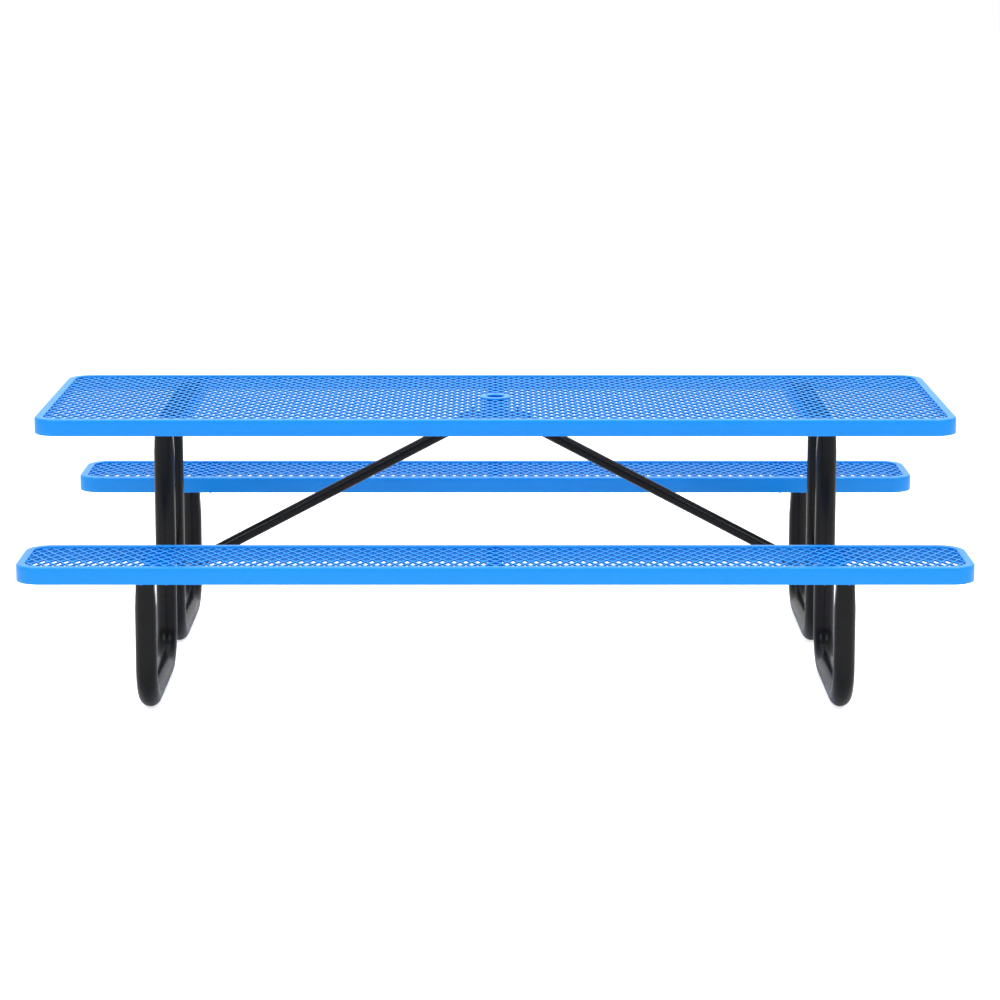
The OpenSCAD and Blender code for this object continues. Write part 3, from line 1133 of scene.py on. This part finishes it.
BLUE_TONE = {"Drift": 0.10, "Mottle": 0.05}
BLUE_RELIEF = {"Strength": 0.12, "Distance": 0.0006}
BLUE_RUBBED = (0.10, 0.36, 0.92, 1)
BLUE_DUST = (0.45, 0.55, 0.72, 1)

BLUE_COATING = make_coating(
    "blue_coating",
    color=(0.008, 0.292, 0.87, 1),
    tone=BLUE_TONE,
    peel={"Scale": 240.0, "Roughness": 0.30, "Spread": 0.12},
    relief=BLUE_RELIEF,
    wear={"Wear": 0.15, "Dust": 0.02},
    rubbed=BLUE_RUBBED,
    dust=BLUE_DUST,
    shading={"Specular IOR Level": 0.26},
)
# Strand coating with painted shade: upright walls darker than level tops.
SHADED_STRAND_COATING = make_coating(
    "strand_coating_painted_shade",
    color=(0.012, 0.33, 0.91, 1),
    # painted shade on the strands' upright walls
    shaded_walls=(0.002, 0.13, 0.55, 1),
    tone=BLUE_TONE,
    peel={"Scale": 240.0, "Roughness": 0.36, "Spread": 0.12},
    relief=BLUE_RELIEF,
    wear={"Wear": 0.10, "Dust": 0.02},
    rubbed=BLUE_RUBBED,
    dust=BLUE_DUST,
    shading={"Specular IOR Level": 0.22},
)
BLACK_POWDER = make_coating(
    "black_powder_coat",
    color=(0.004, 0.004, 0.004, 1),
    tone={"Drift": 0.20, "Mottle": 0.12},
    peel={"Scale": 520.0, "Roughness": 0.27, "Spread": 0.12},
    relief={"Strength": 0.18, "Distance": 0.0003},
    wear={"Wear": 0.30, "Dust": 0.02},
    rubbed=(0.06, 0.06, 0.065, 1),
    dust=(0.22, 0.21, 0.20, 1),
    shading={"Specular IOR Level": 0.20},
)
ZINC_STEEL = make_coating(
    "zinc_plated_steel",
    color=(0.60, 0.61, 0.63, 1),
    tone={"Drift": 0.12, "Mottle": 0.20},
    peel={"Scale": 900.0, "Roughness": 0.34, "Spread": 0.20},
    relief={"Strength": 0.15, "Distance": 0.0002},
    wear={"Wear": 0.30, "Dust": 0.08},
    rubbed=(0.75, 0.75, 0.76, 1),
    dust=(0.35, 0.33, 0.30, 1),
    shading={"Metallic": 1.0},
)

# Each material with its slot.
BLUE = (BLUE_COATING, "blue_coating")
STRANDS = (SHADED_STRAND_COATING, "blue_coating")
BLACK = (BLACK_POWDER, "black_frame")
ZINC = (ZINC_STEEL, "zinc_steel")


# ---- the table -----------------------------------------------------------------------


def build_trays():
    for node in ("tabletop_rim", "front_bench_rim", "rear_bench_rim"):
        finish_piece(make_rim(node + "_coated", node), *BLUE, node)
    low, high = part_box("tabletop_mesh")
    bond = make_bond(high.z - low.z + 2 * STRAND_COAT)
    for node in ("front_bench_mesh", "rear_bench_mesh"):
        sheet = make_expanded_metal(node + "_expanded", node, bond)
        soften(sheet, angle=50)
        finish_piece(sheet, *STRANDS, node)
    sheet = make_expanded_metal("tabletop_mesh_expanded", "tabletop_mesh", bond)
    cut_sleeve_hole(sheet, Vector((0, 0, high.z)), SLEEVE_RADIUS - SLEEVE_WALL / 2)
    for half in split_in_halves(sheet, "tabletop_mesh_left", "tabletop_mesh_right"):
        soften(half, angle=50)
        finish_piece(half, *STRANDS, "tabletop_mesh")
    bpy.data.objects.remove(bond)
    for node in ("front_bench_strap", "rear_bench_strap"):
        finish_piece(make_block(node + "_bar", *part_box(node)), *BLUE, node)
    low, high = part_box("tabletop_strap")
    front_end = Vector((high.x, -SLEEVE_RADIUS, high.z))
    rear_start = Vector((low.x, SLEEVE_RADIUS, low.z))
    finish_piece(make_block("tabletop_strap_front", low, front_end), *BLUE, "tabletop_strap")
    finish_piece(make_block("tabletop_strap_rear", rear_start, high), *BLUE, "tabletop_strap")
    for side in ("left", "right"):
        node = "tabletop_bar_" + side
        finish_piece(make_block(node + "_stock", *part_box(node)), *BLUE, node)
        for half in ("front", "rear"):
            node = f"{half}_channel_{side}"
            finish_piece(make_channel(node + "_formed", node), *BLUE, node)
    finish_piece(make_collar("umbrella_collar_turned"), *BLUE, "umbrella_collar")


def build_frames():
    rear_right = make_leg("rear_leg_right_bent")
    legs = {
        "rear_leg_right": rear_right,
        "rear_leg_left": mirror_copy(rear_right, "rear_leg_left_bent", (-1, 1)),
        "front_leg_right": mirror_copy(rear_right, "front_leg_right_bent", (1, -1)),
        "front_leg_left": mirror_copy(rear_right, "front_leg_left_bent", (-1, -1)),
    }
    right_brace = make_brace("brace_right_drawn")
    braces = {
        "brace_right": right_brace,
        "brace_left": mirror_copy(right_brace, "brace_left_drawn", (-1, 1)),
    }
    right_tie = make_tie("tie_right_tube")
    ties = {
        "tie_right": right_tie,
        "tie_left": mirror_copy(right_tie, "tie_left_tube", (-1, 1)),
    }
    for node, piece in {**legs, **braces, **ties}.items():
        finish_piece(piece, *BLACK, node)
    for side in ("left", "right"):
        node = "rail_" + side
        finish_piece(make_channel(node + "_formed", node), *BLACK, node)


def build_welds():
    at = leg_places()
    low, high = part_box("tie_right")
    radius = (high.x - low.x) / 2
    place = (at["plane"], at["tall"] - LEG_RADIUS, (low.z + high.z) / 2)
    bead = make_bead("weld_rear_right", place, radius, LEG_RADIUS)
    finish_piece(bead, *BLACK)
    finish_piece(mirror_copy(bead, "weld_rear_left", (-1, 1)), *BLACK)
    finish_piece(mirror_copy(bead, "weld_front_right", (1, -1)), *BLACK)
    finish_piece(mirror_copy(bead, "weld_front_left", (-1, -1)), *BLACK)


def build_lugs():
    low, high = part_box("upper_lugs")
    low.x = SLEEVE_RADIUS - SLEEVE_WALL / 2
    upper_lug = make_lug("upper_lug_right", low, high, high.x)
    finish_piece(upper_lug, *BLUE, "upper_lugs")
    finish_piece(mirror_copy(upper_lug, "upper_lug_left", (-1, 1)), *BLUE, "upper_lugs")
    low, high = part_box("lower_lugs")
    low.x = brace_bolts_at()[1].x - LUG_MARGIN
    lower_lug = make_lug("lower_lug_right", low, high, low.x)
    finish_piece(lower_lug, *BLACK, "lower_lugs")
    finish_piece(mirror_copy(lower_lug, "lower_lug_left", (-1, 1)), *BLACK, "lower_lugs")


def build_fasteners():
    joints = (
        ("frame", leg_bolt_places, 2 * LEG_WALL + STOCK_GAUGE, WASHER_GAUGE),
        ("rail", rail_bolt_places, 2 * STOCK_GAUGE, 0),
        ("brace", brace_bolt_places, 2 * BRACE_WALL + LUG_GAUGE, 0),
    )
    for label, places, grip, washer in joints:
        bolt = make_bolt(label + "_bolt", grip + washer)
        bolts = place_all(bolt, label + "_hex_bolts", places(-washer))
        finish_piece(bolts, *ZINC, label + "_bolts")
        nuts = place_all(make_nut(label + "_nut"), label + "_hex_nuts", places(grip))
        finish_piece(nuts, *ZINC, label + "_nuts")
    washers = place_all(
        make_washer("washer"), "frame_flat_washers", leg_bolt_places(-WASHER_GAUGE))
    finish_piece(washers, *ZINC, "frame_washers")


build_trays()
build_frames()
build_welds()
build_lugs()
build_fasteners()


# ---- floor, light and camera ---------------------------------------------------------


def make_floor():
    """A pale floor, clear from below, that looks brighter to the camera alone."""
    deselect_all()
    bpy.ops.mesh.primitive_plane_add(size=FLOOR_SIZE, location=(0, 0, -FLOOR_DROP))
    floor = bpy.context.active_object
    floor.name = "floor"
    material = bpy.data.materials.new("floor_paint")
    material.use_nodes = True
    tree = material.node_tree
    shader = tree.nodes["Principled BSDF"]
    camera_ray = add_node(tree, "LightPath").outputs["Is Camera Ray"]
    set_inputs(tree, shader, {
        "Base Color": FLOOR_COLOR,
        "Roughness": FLOOR_ROUGHNESS,
        "Specular IOR Level": FLOOR_SPECULAR,
        "Emission Color": WHITE,
        "Emission Strength": add_math(tree, "MULTIPLY", camera_ray, FLOOR_LIFT),
    })
    surface = add_node(tree, "MixShader", {
        "Fac": add_node(tree, "NewGeometry").outputs["Backfacing"],
        1: shader.outputs[0],
        2: add_node(tree, "BsdfTransparent").outputs[0],
    })
    set_inputs(tree, tree.nodes["Material Output"], {"Surface": surface.outputs[0]})
    floor.data.materials.append(material)


def make_light(name, place, size, power):
    data = bpy.data.lights.new(name, "AREA")
    data.shape = "RECTANGLE"
    data.size, data.size_y = size
    data.energy = power
    light = bpy.data.objects.new(name, data)
    bpy.context.scene.collection.objects.link(light)
    light.location = place
    aim = Vector(SOFTBOX_AIM) - Vector(place)
    light.rotation_euler = aim.to_track_quat("-Z", "Y").to_euler()


def make_world():
    """A pale studio: the camera sees plain white, the table a bright rear and top."""
    world = bpy.data.worlds.new("studio")
    world.use_nodes = True
    bpy.context.scene.world = world
    tree = world.node_tree
    facing = add_node(tree, "VectorMath", {
        0: add_node(tree, "TexCoord").outputs["Generated"],
        1: STUDIO_BRIGHT_SIDE,
    }, operation="DOT_PRODUCT")
    sky = add_range(
        tree, facing.outputs["Value"], STUDIO_FADE, (STUDIO_DIM, STUDIO_BRIGHT), "SMOOTHSTEP")
    lighting = tree.nodes["Background"]
    set_inputs(tree, lighting, {"Color": WHITE, "Strength": sky})
    backdrop = add_node(tree, "Background", {"Color": WHITE})
    surface = add_node(tree, "MixShader", {
        "Fac": add_node(tree, "LightPath").outputs["Is Camera Ray"],
        1: lighting.outputs[0],
        2: backdrop.outputs[0],
    })
    set_inputs(tree, tree.nodes["World Output"], {"Surface": surface.outputs[0]})


def make_camera():
    data = bpy.data.cameras.new("camera")
    data.sensor_width = CAMERA_SENSOR
    data.lens = CAMERA_LENS
    data.shift_x, data.shift_y = CAMERA_SHIFT
    data.clip_end = CAMERA_REACH
    camera = bpy.data.objects.new("camera", data)
    bpy.context.scene.collection.objects.link(camera)
    camera.location = (0, -CAMERA_DISTANCE, CAMERA_HEIGHT)
    camera.rotation_euler = (math.pi / 2 - CAMERA_PITCH, 0, 0)
    bpy.context.scene.camera = camera


make_floor()
make_world()
for softbox in SOFTBOXES:
    make_light(*softbox)
bpy.context.scene.view_settings.view_transform = "Standard"
make_camera()
